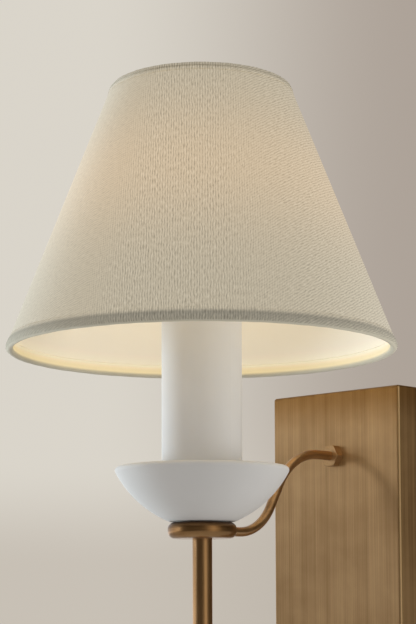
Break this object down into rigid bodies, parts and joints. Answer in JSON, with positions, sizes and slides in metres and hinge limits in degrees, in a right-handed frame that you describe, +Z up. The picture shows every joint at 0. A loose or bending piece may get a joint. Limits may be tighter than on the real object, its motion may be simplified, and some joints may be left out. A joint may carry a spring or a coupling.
{
  "type": "fabric shade wall light",
  "caption": "Wall light with a conical cloth shade on a white candle tube and dish, held by a slim curved brass arm on a tall box backplate.",
  "frame": {"origin": "centre of the backplate's rear face, where it meets the wall", "axes": "+Z up, +X to the right along the wall, +Y into the wall"},
  "size_m": [0.2526, 0.2841, 0.4923],
  "materials": {
    "aged_brass": "satin aged brass, brushed",
    "steel": "zinc-plated steel",
    "dark_steel": "blackened steel",
    "earth_green": "green-plated screw",
    "white_bowl": "matte white",
    "white_tube": "matte white paint",
    "socket_moulding": "plain porcelain",
    "bare_brass": "bare brass",
    "soft_washer": "pale vinyl",
    "frosted_glass": "frosted",
    "clear_glass": "clear",
    "filament": "phosphor rod",
    "black_insulator": "black glass",
    "frame_wire": "white-coated wire",
    "linen": "off-white twill linen",
    "liner": "cream liner"
  },
  "bodies": {
    "fixture": {"backplate": "aged_brass", "wall_strap": "steel", "plate_set_screws": "dark_steel", "ground_screw": "earth_green", "arm_tube": "aged_brass", "arm_ferrule": "aged_brass", "arm_lock_nut": "aged_brass", "arm_inner_washer": "steel", "arm_inner_nut": "steel", "hub_disc": "aged_brass", "stem_tube": "aged_brass", "stem_finial": "aged_brass", "lamp_pipe": "steel", "bowl_washer": "soft_washer", "bowl": "white_bowl", "tube_locator": "steel", "bowl_lock_nut": "steel", "candle_tube": "white_tube", "tube_cap": "white_tube", "socket_cap": "socket_moulding", "socket_body": "socket_moulding", "socket_screw_shell": "bare_brass", "socket_contact": "bare_brass", "socket_terminal_screws": "bare_brass"},
    "clamp_ring": {"shade_ring": "white_tube"},
    "shade": {"fitter_ring": "frame_wire", "fitter_spokes": "frame_wire", "top_ring_wire": "frame_wire", "bottom_ring_wire": "frame_wire", "shade_liner": "liner", "shade_cover": "linen", "shade_top_hem": "linen", "shade_bottom_hem": "linen", "shade_seam": "linen"},
    "bulb": {"bulb_contact": "steel", "bulb_insulator": "black_insulator", "bulb_cap": "bare_brass", "bulb_glass": "frosted_glass", "bulb_mount": "clear_glass", "bulb_filaments": "filament"}
  },
  "joints": [
    {"name": "shade_lift", "type": "slide", "parent": "fixture", "child": "clamp_ring", "axis": [0, 0, 1], "range_m": [0, 0.18]},
    {"name": "shade_turn", "type": "hinge", "parent": "clamp_ring", "child": "shade", "pos_m": [0, -0.1578, 0.234], "axis": [0, 0, 1], "continuous": true},
    {"name": "bulb_lift", "type": "slide", "parent": "fixture", "child": "bulb", "axis": [0, 0, 1], "range_m": [0, 0.14]}
  ]
}
